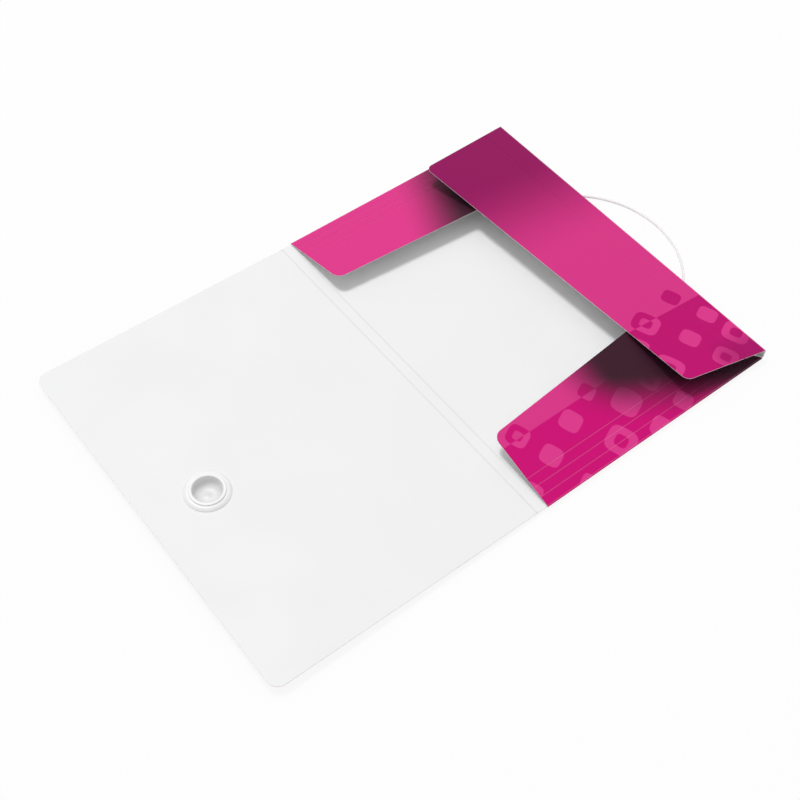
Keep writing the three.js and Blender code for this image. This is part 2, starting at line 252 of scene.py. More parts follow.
def make_blank_position():
    """Where a point lies on the flat sheet before folding, in millimetres, and on which side of it."""
    tree, given, result = new_group("blank_position", [
        ("Crease point", "Vector", (0, 0, 0)),
        ("Away", "Vector", (1, 0, 0)),
        ("Right", "Vector", (1, 0, 0)),
        ("Up", "Vector", (0, 1, 0)),
        ("Inner side", "Vector", (0, 0, 1)),
        ("Start", "Vector", (0, 0, 0)),
    ], [
        ("Position", "Vector"), ("From crease", "Float"), ("Outer side", "Float"), ("Cut edge", "Float"),
    ])
    place = tree.nodes.new("ShaderNodeTexCoord")
    offset = vector_maths(tree, "SUBTRACT", place.outputs["Object"], given["Crease point"])
    in_mm = in_millimetres(tree, offset)
    flat = place_node(
        tree, "ShaderNodeCombineXYZ",
        X=vector_maths(tree, "DOT_PRODUCT", in_mm, given["Right"]),
        Y=vector_maths(tree, "DOT_PRODUCT", in_mm, given["Up"]),
    )
    feed(tree, result["Position"], vector_maths(tree, "ADD", flat.outputs[0], given["Start"]))
    feed(tree, result["From crease"], vector_maths(tree, "DOT_PRODUCT", in_mm, given["Away"]))
    level = vector_maths(tree, "DOT_PRODUCT", in_mm, given["Inner side"])
    middle = -CREASE_HALF_GAP - SHEET_THICKNESS / 2
    feed(tree, result["Outer side"], maths(tree, "LESS_THAN", level, middle))
    facing = vector_maths(tree, "DOT_PRODUCT", place.outputs["Normal"], given["Inner side"])
    feed(tree, result["Cut edge"], maths(tree, "LESS_THAN", maths(tree, "ABSOLUTE", facing), 0.5))
    return tree


def turned(tree, position, angle):
    node = place_node(
        tree, "ShaderNodeVectorRotate", {"rotation_type": "Z_AXIS"}, Vector=position, Angle=angle,
    )
    return node.outputs[0]


def make_rounded_squares():
    """Scattered squares with soft corners, each whole and of its own size, with the height of its centre."""
    roundness = 3.6
    scatter = 0.34
    edge_softness = 0.008
    tree, given, result = new_group("rounded_squares", [
        ("Position", "Vector", (0, 0, 0)),
        ("Spacing", "Float", 30),
        ("Turn", "Float", 0.5),
        ("Smallest", "Float", 0.1),
        ("Largest", "Float", 0.3),
    ], [("Square", "Float"), ("Core", "Float"), ("Pick", "Float"), ("Centre height", "Float")])
    spread = place_node(
        tree, "ShaderNodeTexVoronoi",
        {"voronoi_dimensions": "2D", "distance": "MINKOWSKI", "feature": "F1"},
        Vector=turned(tree, given["Position"], given["Turn"]),
        Scale=maths(tree, "DIVIDE", 1, given["Spacing"]), Exponent=roundness, Randomness=scatter,
    )
    numbers = place_node(tree, "ShaderNodeSeparateColor", Color=spread.outputs["Color"])
    size = even_ramp(tree, numbers.outputs["Red"], 0, 1, given["Smallest"], given["Largest"])
    core_size = maths(tree, "MULTIPLY", size, CORE_SHARE)
    for label, reach in (("Square", size), ("Core", core_size)):
        inside = maths(tree, "SUBTRACT", reach, spread.outputs["Distance"])
        feed(tree, result[label], soft_ramp(tree, inside, -edge_softness, edge_softness))
    feed(tree, result["Pick"], numbers.outputs["Green"])
    centre = turned(tree, spread.outputs["Position"], maths(tree, "MULTIPLY", given["Turn"], -1))
    centre_axes = place_node(tree, "ShaderNodeSeparateXYZ", Vector=centre)
    feed(tree, result["Centre height"], centre_axes.outputs["Y"])
    return tree


def make_artwork(rounded_squares):
    """Outside of the folder: a print of a pink field and a magenta band of soft squares round its foot, a
    plum fade, and painted shade and shadows.
    """
    tree, given, result = new_group("artwork_and_painted_shade", [
        ("Position", "Vector", (0, 0, 0)),
        ("Field", "Color", (*BRIGHT_PINK, 1)),
        ("Motif", "Color", (*MOTIF_PINK, 1)),
        ("Band", "Color", (*DEEP_MAGENTA, 1)),
        ("Plum", "Color", (*PLUM_SHADE, 1)),
        ("Dark", "Color", (*PAINTED_SHADOW_DARK, 1)),
    ], [("Color", "Color")])
    position = given["Position"]
    axes = place_node(tree, "ShaderNodeSeparateXYZ", Vector=position)
    aside = axes.outputs["X"]
    height = axes.outputs["Y"]
    band = product(
        tree, soft_ramp(tree, height, BAND_TOP + BAND_SOFTNESS, BAND_TOP - BAND_SOFTNESS),
        soft_ramp(tree, height, BAND_FOOT - BAND_SOFTNESS, BAND_FOOT + BAND_SOFTNESS),
    )
    squares = use_group(
        tree, rounded_squares, Position=position, Spacing=SQUARE_SPACING, Turn=SQUARE_TURN,
        Smallest=SMALLEST_SQUARE, Largest=LARGEST_SQUARE,
    )
    shown = product(
        tree, squares["Square"],
        maths(tree, "LESS_THAN", squares["Centre height"], BAND_TOP + SQUARES_PAST_TOP),
        maths(tree, "GREATER_THAN", squares["Centre height"], BAND_FOOT - SQUARES_PAST_FOOT),
    )
    hole = product(tree, squares["Core"], maths(tree, "GREATER_THAN", squares["Pick"], CORE_FROM_PICK))
    shown = maths(tree, "SUBTRACT", shown, hole, clamp=True)
    side_flap = soft_ramp(tree, aside, BACK_WIDTH, BACK_WIDTH + WALL_HEIGHT)
    # Painted shade: plum over the magenta band on the side flap
    painted_shade_in_band = product(tree, side_flap, PAINTED_SHADE_IN_SIDE_BAND)
    band_colour = blend_colours(tree, painted_shade_in_band, given["Band"], given["Plum"])
    on_band = blend_colours(tree, shown, band_colour, given["Motif"])
    on_field = blend_colours(tree, shown, given["Field"], band_colour)
    outside_colour = blend_colours(tree, band, on_field, on_band)

    # Plum fade, darker towards the top end of the side flap
    top_fade = product(
        tree, soft_ramp(tree, height, *TOP_FADE_UP, *TOP_FADE_SHARES),
        soft_ramp(tree, aside, *TOP_FADE_RIGHT),
    )
    # Painted plum shade at the lower end of the side flap
    foot_painted_shade = product(
        tree, soft_ramp(tree, height, *FOOT_PAINTED_SHADE_DOWN, *FOOT_PAINTED_SHADE_SHARES),
        soft_ramp(tree, aside, *FOOT_PAINTED_SHADE_LEFT), side_flap,
    )
    outside_colour = blend_colours(tree, maths(tree, "MAXIMUM", top_fade, foot_painted_shade), outside_colour, given["Plum"])
    # Painted shadows of the side flap, dark, on the top and bottom flaps beside it
    top_painted_shadow = product(
        tree, slanted_ramp(tree, position, TOP_PAINTED_SHADOW_SLOPE, *TOP_PAINTED_SHADOW_RUN),
        maths(tree, "GREATER_THAN", height, HALF_HEIGHT - FOLD_MARGIN),
    )
    foot_painted_shadow = product(
        tree, slanted_ramp(tree, position, FOOT_PAINTED_SHADOW_SLOPE, *FOOT_PAINTED_SHADOW_RUN),
        soft_ramp(tree, aside, *FOOT_PAINTED_SHADOW_RIGHT),
        maths(tree, "LESS_THAN", height, FOLD_MARGIN - HALF_HEIGHT),
    )
    shade = maths(tree, "MAXIMUM", top_painted_shadow, foot_painted_shadow)
    feed(tree, result["Color"], blend_colours(tree, shade, outside_colour, given["Dark"]))
    return tree


def make_pressed_lines():
    """Thin lines where the sheet is creased or pressed, at whole pitches from the fold."""
    tree, given, result = new_group("score_lines", [
        ("From crease", "Float", 0),
        ("Pitch", "Float", 8.3),
        ("First", "Float", 0),
        ("Last", "Float", 3),
        ("Half width", "Float", 0.4),
    ], [("Line", "Float")])
    turns = maths(tree, "DIVIDE", given["From crease"], given["Pitch"])
    nearest = maths(tree, "ROUND", turns)
    miss = maths(tree, "ABSOLUTE", maths(tree, "SUBTRACT", turns, nearest))
    line = soft_ramp(
        tree, product(tree, miss, given["Pitch"]), given["Half width"],
        product(tree, given["Half width"], 0.5),
    )
    from_first = maths(tree, "GREATER_THAN", nearest, maths(tree, "SUBTRACT", given["First"], 0.5))
    to_last = maths(tree, "LESS_THAN", nearest, maths(tree, "ADD", given["Last"], 0.5))
    feed(tree, result["Line"], product(tree, line, from_first, to_last))
    return tree


def make_satin_grain():
    """Fine grain of a calendered plastic sheet, with faint rubbed patches."""
    tree, given, result = new_group("satin_grain", [
        ("Grain size", "Float", 0.5),
        ("Patch size", "Float", 60),
    ], [("Height", "Float"), ("Patches", "Float")])
    place = tree.nodes.new("ShaderNodeTexCoord")
    in_mm = in_millimetres(tree, place.outputs["Object"])

    def noise(size, detail, roughness):
        node = place_node(
            tree, "ShaderNodeTexNoise", Vector=in_mm, Scale=maths(tree, "DIVIDE", 1, size),
            Detail=detail, Roughness=roughness,
        )
        return node.outputs[0]

    feed(tree, result["Height"], noise(given["Grain size"], detail=2.0, roughness=0.6))
    patches = noise(given["Patch size"], detail=4.0, roughness=0.55)
    feed(tree, result["Patches"], soft_ramp(tree, patches, low=0.3, high=0.7))
    return tree


def make_braid():
    """Crossing strands of a round braided elastic, from its length and turn coordinates."""
    full = 0.35
    clear = 0.75
    tree, given, result = new_group("braid", [
        ("Along", "Float", 0),
        ("Around", "Float", 0),
        ("Strands", "Float", 8),
        ("Pitch", "Float", 2.6),
    ], [("Height", "Float"), ("Hollow", "Float")])
    turn = product(tree, given["Around"], given["Strands"])
    run = product(tree, maths(tree, "DIVIDE", given["Along"], given["Pitch"]), 2)

    def strand(direction):
        phase = maths(tree, direction, turn, run)
        swing = maths(tree, "SINE", product(tree, phase, 2 * math.pi))
        return maths(tree, "MULTIPLY_ADD", swing, 0.5, 0.5)

    height = maths(tree, "MAXIMUM", strand("ADD"), strand("SUBTRACT"))
    feed(tree, result["Height"], height)
    feed(tree, result["Hollow"], soft_ramp(tree, height, clear, full))
    return tree


BLANK_POSITION = make_blank_position()
ROUNDED_SQUARES = make_rounded_squares()
ARTWORK_AND_PAINTED_SHADE = make_artwork(ROUNDED_SQUARES)
PRESSED_LINES = make_pressed_lines()
SATIN_GRAIN = make_satin_grain()
BRAID = make_braid()


# Finishes

INSIDE_SHINE = 0.5
PRINT_SHINE = 0.1
INSIDE_ROUGHNESS = 0.52
PRINT_ROUGHNESS = 0.4
RUBBED_ROUGHNESS = 0.05
RUBBED_WHITE = 0.985
SHEET_IOR = 1.49
SHEET_GRAIN_SIZE = 0.55
SHEET_PATCH_SIZE = 70.0
SHEET_GRAIN_RISE = 0.3
SHEET_RELIEF = 0.25
MOULDED_IOR = 1.47
GRAIN_DEPTH = 0.05
BRAID_STRANDS = 8.0
BRAID_PITCH = 2.6
BRAID_RELIEF = 0.08
BRAID_DEPTH = 0.1
CREASE_HALF_WIDTH = 0.8
CREASE_SHADE_ON_WHITE = 0.3
CREASE_ON_PRINT = 0.25
LINE_HALF_WIDTH = 0.34
GROOVE_HALF_WIDTH = 0.9
# Painted shade in the button's hollow: its share, and the depths over which it grows
HOLLOW_SHADE_SHARE = 0.6
HOLLOW_SHADE_DEPTHS = (-1 * MM, 3 * MM)


def new_finish(name, **settings):
    material = bpy.data.materials.new(name)
    material.use_nodes = True
    shader = material.node_tree.nodes["Principled BSDF"]
    for label, value in settings.items():
        shader.inputs[label.replace("_", " ")].default_value = value
    return material, material.node_tree, shader


def dimmed(colour, share):
    return tuple(share * part for part in colour)


def add_bump(tree, shader, height, strength, depth_mm):
    bump = place_node(tree, "ShaderNodeBump", Strength=strength, Distance=depth_mm * MM, Height=height)
    feed(tree, shader.inputs["Normal"], bump.outputs[0])


class Panel:
    """A flat panel of the sheet: where its crease runs and which ways it faces, read from its solid."""

    def __init__(self, node, crease_point, start, along):
        self.crease_point = crease_point
        self.start = Vector((*start, 0))
        mesh = frame["nodes"][node].data
        face = max(mesh.polygons, key=lambda polygon: polygon.area)
        normal = face.normal.copy()
        if (face.center - crease_point).dot(normal) > 0:
            normal.negate()
        self.inner = normal
        middle = sum((vertex.co for vertex in mesh.vertices), Vector()) / len(mesh.vertices)
        away = middle - crease_point
        away -= away.dot(along) * along
        self.away = (away - away.dot(normal) * normal).normalized()
        self.along = along

    def point(self, away_mm, along_mm, level_mm):
        offset = self.away * away_mm + self.inner * level_mm
        return self.crease_point + (offset + self.along * along_mm) * MM


def sheet_finish(name, panel, right, up, shine, creases=None, lines=None, side="both"):
    """White inside, print outside and pale cut edges, with the panel's creases, pressed lines and painted
    shade.

    side is both for a panel, or else inside or outside for one face of a crease's strip.
    """
    material, tree, shader = new_finish(name, IOR=SHEET_IOR, Specular_IOR_Level=shine)
    place = use_group(
        tree, BLANK_POSITION, Crease_point=panel.crease_point, Away=panel.away, Right=right, Up=up,
        Inner_side=panel.inner, Start=panel.start,
    )
    grain = use_group(tree, SATIN_GRAIN, Grain_size=SHEET_GRAIN_SIZE, Patch_size=SHEET_PATCH_SIZE)
    white = blend_colours(tree, grain["Patches"], SHEET_WHITE, dimmed(SHEET_WHITE, RUBBED_WHITE))
    outside_colour = use_group(tree, ARTWORK_AND_PAINTED_SHADE, Position=place["Position"])["Color"]
    height = product(tree, grain["Height"], SHEET_GRAIN_RISE)
    cut_edge = place["Cut edge"]

    def marks(first, pitch, last, half_width):
        return use_group(
            tree, PRESSED_LINES, From_crease=place["From crease"], Pitch=pitch, First=first, Last=last,
            Half_width=half_width,
        )["Line"]

    if creases:
        folded = marks(0.0, *creases, CREASE_HALF_WIDTH)
        # Painted shade along the creases of the white inside, and pale lines on the print
        white = blend_colours(tree, product(tree, folded, CREASE_SHADE_ON_WHITE), white, SHEET_CREASE_SHADE)
        outside_colour = blend_colours(tree, product(tree, folded, CREASE_ON_PRINT), outside_colour, PALE_LINE)
    if lines:
        pitch, last, strength = lines
        pressed = marks(1.0, pitch, last, LINE_HALF_WIDTH)
        brightness = place_node(tree, "ShaderNodeSeparateColor", Color=outside_colour).outputs["Red"]
        outside_colour = blend_colours(tree, product(tree, pressed, brightness, strength), outside_colour, PALE_LINE)
        groove = marks(1.0, pitch, last, GROOVE_HALF_WIDTH)
        cut_edge = maths(tree, "SUBTRACT", cut_edge, groove, clamp=True)

    if side == "both":
        outer = place["Outer side"]
        colour = blend_colours(tree, outer, white, outside_colour)
        colour = blend_colours(tree, cut_edge, colour, SHEET_EDGE)
        smoother = PRINT_ROUGHNESS - INSIDE_ROUGHNESS
        roughness = maths(tree, "MULTIPLY_ADD", outer, smoother, INSIDE_ROUGHNESS)
    elif side == "outside":
        colour = outside_colour
        roughness = PRINT_ROUGHNESS
    else:
        # Painted shade over the whole inside of a crease's strip
        colour = blend_colours(tree, CREASE_SHADE_ON_WHITE, white, SHEET_CREASE_SHADE)
        roughness = INSIDE_ROUGHNESS
    feed(tree, shader.inputs["Base Color"], colour)
    rubbed = maths(tree, "MULTIPLY_ADD", grain["Patches"], RUBBED_ROUGHNESS, roughness)
    feed(tree, shader.inputs["Roughness"], rubbed)
    add_bump(tree, shader, height, SHEET_RELIEF, GRAIN_DEPTH)
    return material


def moulded_finish(name, white, faint, grain_size, patch_size, roughness, rubbed, relief):
    """Smooth moulded plastic with faint patches: its material, nodes and shader, and the colour it has."""
    material, tree, shader = new_finish(name, IOR=MOULDED_IOR)
    grain = use_group(tree, SATIN_GRAIN, Grain_size=grain_size, Patch_size=patch_size)
    colour = blend_colours(tree, grain["Patches"], white, dimmed(white, faint))
    feed(tree, shader.inputs["Base Color"], colour)
    feed(tree, shader.inputs["Roughness"], maths(tree, "MULTIPLY_ADD", grain["Patches"], rubbed, roughness))
    add_bump(tree, shader, grain["Height"], relief, GRAIN_DEPTH)
    return material, tree, shader, colour


def button_finish(mouth, inner):
    """White plastic, with painted shade down in the hollow below the given mouth point."""
    material, tree, shader, colour = moulded_finish(
        "button_plastic", BUTTON_WHITE, faint=0.97, grain_size=2.5, patch_size=14.0, roughness=0.36,
        rubbed=0.08, relief=0.08,
    )
    place = tree.nodes.new("ShaderNodeTexCoord")
    below_mouth = vector_maths(tree, "SUBTRACT", place.outputs["Object"], mouth)
    depth = vector_maths(tree, "DOT_PRODUCT", below_mouth, -inner)
    # Painted shade, growing with depth below the mouth
    hollow_shade = product(tree, soft_ramp(tree, depth, *HOLLOW_SHADE_DEPTHS), HOLLOW_SHADE_SHARE)
    feed(tree, shader.inputs["Base Color"], blend_colours(tree, hollow_shade, colour, BUTTON_HOLLOW_SHADE))
    return material


def tag_finish():
    material, *_ = moulded_finish(
        "tag_plastic", TAG_WHITE, faint=0.93, grain_size=0.8, patch_size=6.0, roughness=0.42,
        rubbed=0.1, relief=0.2,
    )
    return material


def elastic_finish():
    """White braid, with the soft sheen of thread."""
    material, tree, shader = new_finish(
        "braided_elastic", Sheen_Weight=1.0, Sheen_Roughness=0.9, Roughness=0.8,
    )
    lay = place_node(tree, "ShaderNodeUVMap", {"uv_map": "braid"})
    axes = place_node(tree, "ShaderNodeSeparateXYZ", Vector=lay.outputs[0])
    strands = use_group(
        tree, BRAID, Along=axes.outputs["X"], Around=axes.outputs["Y"], Strands=BRAID_STRANDS,
        Pitch=BRAID_PITCH,
    )
    # Painted shade in the hollows between the braid's strands
    colour = blend_colours(tree, strands["Hollow"], ELASTIC_WHITE, ELASTIC_SHADED)
    feed(tree, shader.inputs["Base Color"], colour)
    add_bump(tree, shader, strands["Height"], BRAID_RELIEF, BRAID_DEPTH)
    return material


# Panels of the sheet, with the finish of each one laid out as on the flat sheet

SPINE_CORNER = CREASE["spine_crease"]
TOP_CORNER = Vector((SPINE_CORNER.x, *CREASE["top_flap_crease"].yz))
BOTTOM_CORNER = Vector((SPINE_CORNER.x, *CREASE["bottom_flap_crease"].yz))
COVER_START = (-SPINE_WIDTH, 0)
WALL_START = (BACK_WIDTH, 0)
SIDE_FLAP_START = (BACK_WIDTH + WALL_HEIGHT, 0)
TOP_START = (0, HALF_HEIGHT)
BOTTOM_START = (0, -HALF_HEIGHT)

PANELS = {
    "back_panel": Panel("back_panel", SPINE_CORNER, (0, 0), UPWARDS),
    "spine_panel": Panel("spine_panel", SPINE_CORNER, (0, 0), UPWARDS),
    "front_cover": Panel("front_cover", CREASE["cover_crease"], COVER_START, UPWARDS),
    "side_wall": Panel("side_wall", CREASE["wall_crease"], WALL_START, UPWARDS),
    "side_flap": Panel("side_flap", CREASE["side_flap_crease"], SIDE_FLAP_START, UPWARDS),
    "top_flap": Panel("top_flap", TOP_CORNER, TOP_START, ACROSS),
    "bottom_flap": Panel("bottom_flap", BOTTOM_CORNER, BOTTOM_START, ACROSS),
}
RIGHT_OF = {
    "back_panel": PANELS["back_panel"].away,
    "spine_panel": -PANELS["spine_panel"].away,
    "front_cover": -PANELS["front_cover"].away,
    "side_wall": PANELS["side_wall"].away,
    "side_flap": PANELS["side_flap"].away,
    "top_flap": ACROSS,
    "bottom_flap": ACROSS,
}
UP_OF = {
    "top_flap": PANELS["top_flap"].away,
    "bottom_flap": -PANELS["bottom_flap"].away,
}
SHINE_OF = {"back_panel": INSIDE_SHINE, "spine_panel": INSIDE_SHINE, "front_cover": INSIDE_SHINE}

# The pitch of a panel's creases and the last one's number, the one where the panel starts being 0, and
# the same of its pressed lines with their strength
ONE_CREASE = (500.0, 0.0)
CREASES_OF = {
    "back_panel": (BACK_WIDTH, 1.0),
    "spine_panel": (SPINE_WIDTH, 1.0),
    "side_wall": (WALL_HEIGHT, 1.0),
}
LINES_OF = {
    "top_flap": (END_FLAP_LINE_PITCH, END_FLAP_LINES, 0.33),
    "bottom_flap": (END_FLAP_LINE_PITCH, END_FLAP_LINES, 0.45),
    "side_flap": (SIDE_FLAP_LINE, 1.0, 0.12),
}


def give_finish(node, material):
    solid = frame["nodes"][node]
    for slot in solid.material_slots:
        slot.material = material
    if not solid.material_slots:
        solid.data.materials.append(material)


for node, panel in PANELS.items():
    finish = sheet_finish(
        node + "_sheet", panel, RIGHT_OF[node], UP_OF.get(node, UPWARDS), SHINE_OF.get(node, PRINT_SHINE),
        CREASES_OF.get(node, ONE_CREASE), LINES_OF.get(node),
    )
    give_finish(node, finish)

TAG_PLASTIC = tag_finish()
for node in ("elastic_end_tag_top", "elastic_end_tag_bottom"):
    give_finish(node, TAG_PLASTIC)


# Mesh helpers

JOIN_DISTANCE = 1e-7


def rework(mesh, change):
    shaped = bmesh.new()
    shaped.from_mesh(mesh)
    change(shaped)
    shaped.to_mesh(mesh)
    shaped.free()


def face_outwards(shaped):
    bmesh.ops.recalc_face_normals(shaped, faces=shaped.faces)


def join_doubles(shaped):
    bmesh.ops.remove_doubles(shaped, verts=shaped.verts, dist=JOIN_DISTANCE)
    face_outwards(shaped)


def new_piece(name, vertices, faces, materials, face_slots=None):
    mesh = bpy.data.meshes.new(name)
    mesh.from_pydata(vertices, [], faces)
    piece = bpy.data.objects.new(name, mesh)
    bpy.context.scene.collection.objects.link(piece)
    for material in materials:
        mesh.materials.append(material)
    if face_slots:
        mesh.polygons.foreach_set("material_index", face_slots)
    rework(mesh, face_outwards)
    return piece


def smooth_faces(piece, sharp_degrees):
    """Smooth shading, with edges that turn by more than the given angle left sharp."""
    def mark_edges(shaped):
        for edge in shaped.edges:
            turn = edge.calc_face_angle(0)
            edge.smooth = len(edge.link_faces) == 2 and turn < math.radians(sharp_degrees)

    piece.data.polygons.foreach_set("use_smooth", [True] * len(piece.data.polygons))
    rework(piece.data, mark_edges)


# Thinned creases, which join neighbouring panels into one sheet

WEB_RINGS = 10
WEB_RING_POINTS = 4
WEB_INSIDE_INSET = 0.1
WEB_OUTSIDE_INSET = 0.02
WEB_SHARP_ANGLE = 60


def crease_web(joint, first, second, ends, right, up):
    """Strip of bent sheet from the edge of the first panel to the edge of the second."""
    name = joint + "_web"
    axis = first.along
    middle = CREASE[joint] - CREASE[joint].dot(axis) * axis
    flat_away = -second.away
    turn = math.atan2(first.away.cross(flat_away).dot(axis), first.away.dot(flat_away))
    inner_level = -CREASE_HALF_GAP - WEB_INSIDE_INSET
    outer_level = -CREASE_HALF_GAP - SHEET_THICKNESS + WEB_OUTSIDE_INSET

    def bent(share, level):
        """Millimetres from the crease to a level of the strip, that share of the way to the second panel."""
        offset = first.away * (CREASE_HALF_GAP * (1 - 2 * share)) + first.inner * level
        offset.rotate(Quaternion(axis, turn * share))
        return offset

    vertices = [
        middle + bent(ring / WEB_RINGS, level) * MM + axis * end * MM
        for ring in range(WEB_RINGS + 1) for level in (inner_level, outer_level) for end in ends
    ]
    faces = []
    slots = []
    for ring in range(WEB_RINGS):
        low = ring * WEB_RING_POINTS
        high = low + WEB_RING_POINTS
        faces += [
            (low, low + 1, high + 1, high),
            (low + 2, high + 2, high + 3, low + 3),
            (low, high, high + 2, low + 2),
            (low + 1, low + 3, high + 3, high + 1),
        ]
        slots += [0, 1, 1, 1]
    last = WEB_RINGS * WEB_RING_POINTS
    faces += [(0, 2, 3, 1), (last, last + 1, last + 3, last + 2)]
    slots += [1, 1]
    inside = sheet_finish(name + "_inside", first, NOWHERE, up, INSIDE_SHINE, side="inside")
    outside = sheet_finish(name + "_outside", first, right, up, PRINT_SHINE, side="outside")
    web = new_piece(name, vertices, faces, [inside, outside], slots)
    smooth_faces(web, WEB_SHARP_ANGLE)
    start, end = (bent(share, (inner_level + outer_level) / 2) for share in (0, 1))
    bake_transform(web)


FULL_HEIGHT = (-HALF_HEIGHT + CREASE_HALF_GAP, HALF_HEIGHT - CREASE_HALF_GAP)
SIDE_HEIGHT = (FULL_HEIGHT[0], FULL_HEIGHT[1] - SIDE_TOP_INSET)
END_FLAP_RUN = (
    SPINE_CORNER.x / MM + END_FLAP_SPINE_CLEARANCE,
    SPINE_CORNER.x / MM + BACK_WIDTH - END_FLAP_WALL_CLEARANCE,
)
BACK_TOP_EDGE = Panel("back_panel", TOP_CORNER, TOP_START, ACROSS)
BACK_BOTTOM_EDGE = Panel("back_panel", BOTTOM_CORNER, BOTTOM_START, ACROSS)
BACK_FORE_EDGE = Panel("back_panel", CREASE["wall_crease"], WALL_START, UPWARDS)
SPINE_FAR_EDGE = Panel("spine_panel", CREASE["cover_crease"], COVER_START, UPWARDS)
WALL_FAR_EDGE = Panel("side_wall", CREASE["side_flap_crease"], SIDE_FLAP_START, UPWARDS)

for joint, first_edge, next_node, bodies, ends, right, up in (
    ("spine_crease", PANELS["back_panel"], "spine_panel", ("back", "spine"), FULL_HEIGHT, ACROSS, UPWARDS),
    ("cover_crease", SPINE_FAR_EDGE, "front_cover", ("spine", "cover"), FULL_HEIGHT, ACROSS, UPWARDS),
    ("wall_crease", BACK_FORE_EDGE, "side_wall", ("back", "wall"), SIDE_HEIGHT, NOWHERE, UPWARDS),
    ("side_flap_crease", WALL_FAR_EDGE, "side_flap", ("wall", "side_flap"), SIDE_HEIGHT, NOWHERE, UPWARDS),
    ("top_flap_crease", BACK_TOP_EDGE, "top_flap", ("back", "top_flap"), END_FLAP_RUN, ACROSS, NOWHERE),
    (
        "bottom_flap_crease", BACK_BOTTOM_EDGE, "bottom_flap", ("back", "bottom_flap"), END_FLAP_RUN,
        ACROSS, NOWHERE,
    ),
):
    crease_web(joint, first_edge, PANELS[next_node], ends, right, up)


# Button: turned pieces on the axis of the hole in the cover. Radii and heights above the cover's inner
# face are in millimetres.

BUTTON_SEGMENTS = 128
BUTTON_SHARP_ANGLE = 32
ON_AXIS = 0.01
FEWEST_ARC_STEPS = 6
ARC_STEPS_PER_MM = 2

HEAD_RADIUS = 15.5
HEAD_FOOT = -7.15
HEAD_TOP = -4.95
NECK_RADIUS = 13.3
COLLAR_RADIUS = 16.5
COLLAR_FOOT = -1.75
COLLAR_TOP = -0.95
RIM_RADIUS = 14.0
RIM_FOOT = 1.8
RIM_TOP = 2.95
MOUTH_RADIUS = 11.3
HOLLOW_RADIUS = 10.3
HOLLOW_FLOOR = -5.95
GATE_RADIUS = 1.4
GATE_TOP_RADIUS = 1.2
GATE_TOP = -5.85

RING_RADIUS = 17.7
RING_HOLE_RADIUS = 13.6
RING_FOOT = 0.02
RING_TOP = 1.75
DOME_START = (17.75, 0.12)
DOME_WIDTH = 3.85
DOME_RISE = 1.63
DOME_ROUNDNESS = 2.2
DOME_STEPS = 12

COVER = PANELS["front_cover"]
BUTTON_MOUTH = COVER.point(BUTTON_FROM_CREASE, CLOSURE_LINE, 0)
BUTTON_PLASTIC = button_finish(BUTTON_MOUTH, COVER.inner)


def turned_piece(name, profile, node):
    """Profile of (radius, height), turned round the button's axis."""
    across = COVER.inner.cross(COVER.away)
    vertices = []
    for radius, height in profile:
        for step in range(BUTTON_SEGMENTS):
            angle = 2 * math.pi * step / BUTTON_SEGMENTS
            reach = COVER.away * math.cos(angle) + across * math.sin(angle)
            vertices.append(BUTTON_MOUTH + (reach * radius + COVER.inner * height) * MM)
    faces = []
    rings = len(profile)
    for ring in range(rings):
        following = (ring + 1) % rings
        if profile[ring][0] < ON_AXIS and profile[following][0] < ON_AXIS:
            continue
        low = ring * BUTTON_SEGMENTS
        high = following * BUTTON_SEGMENTS
        for step in range(BUTTON_SEGMENTS):
            beside = (step + 1) % BUTTON_SEGMENTS
            faces.append((low + step, low + beside, high + beside, high + step))
    piece = new_piece(name, vertices, faces, [BUTTON_PLASTIC])
    rework(piece.data, join_doubles)
    smooth_faces(piece, BUTTON_SHARP_ANGLE)
    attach(piece, "cover")
    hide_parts(node)


def rounded(corner, before, after, radius):
    """Points of a small arc in place of a profile's sharp corner."""
    corner = Vector(corner)
    ahead = (Vector(after) - corner).normalized()
    behind = (Vector(before) - corner).normalized()
    half_angle = behind.angle(ahead) / 2
    setback = radius / math.tan(half_angle)
    centre = corner + (ahead + behind).normalized() * radius / math.sin(half_angle)
    start = corner + behind * setback - centre
    end = corner + ahead * setback - centre
    steps = max(FEWEST_ARC_STEPS, round(ARC_STEPS_PER_MM * radius))
    return [tuple(centre + start.slerp(end, step / steps).normalized() * radius) for step in range(steps + 1)]


def soften(corners):
    """Profile of the (radius, height, rounding) corners. A rounding of 0 leaves the corner sharp."""
    profile = []
    for place, (*corner, rounding) in enumerate(corners):
        before = corners[place - 1][:2]
        after = corners[(place + 1) % len(corners)][:2]
        profile += rounded(corner, before, after, rounding) if rounding else [tuple(corner)]
    return profile


CUP_PROFILE = soften([
    (0, HEAD_FOOT, 0),
    (HEAD_RADIUS, HEAD_FOOT, 1.1),
    (HEAD_RADIUS, HEAD_TOP, 0.5),
    (NECK_RADIUS, HEAD_TOP, 0.3),
    (NECK_RADIUS, COLLAR_FOOT, 0.3),
    (COLLAR_RADIUS, COLLAR_FOOT, 0.3),
    (COLLAR_RADIUS, COLLAR_TOP, 0.25),
    (NECK_RADIUS, COLLAR_TOP, 0),
    (NECK_RADIUS, RIM_FOOT, 0),
    (RIM_RADIUS, RIM_FOOT, 0.05),
    (RIM_RADIUS, RIM_TOP, 1.05),
    (MOUTH_RADIUS, RIM_TOP, 0.9),
    (HOLLOW_RADIUS, HOLLOW_FLOOR, 6.5),
    (GATE_RADIUS, HOLLOW_FLOOR, 0),
    (GATE_TOP_RADIUS, GATE_TOP, 0),
    (0, GATE_TOP, 0),
])


def dome_point(share):
    """Point of the ring's rounded top, that share of the way from its outer edge to its inner one."""
    radius, height = DOME_START
    return radius - DOME_WIDTH * share, height + DOME_RISE * (1 - (1 - share) ** DOME_ROUNDNESS)


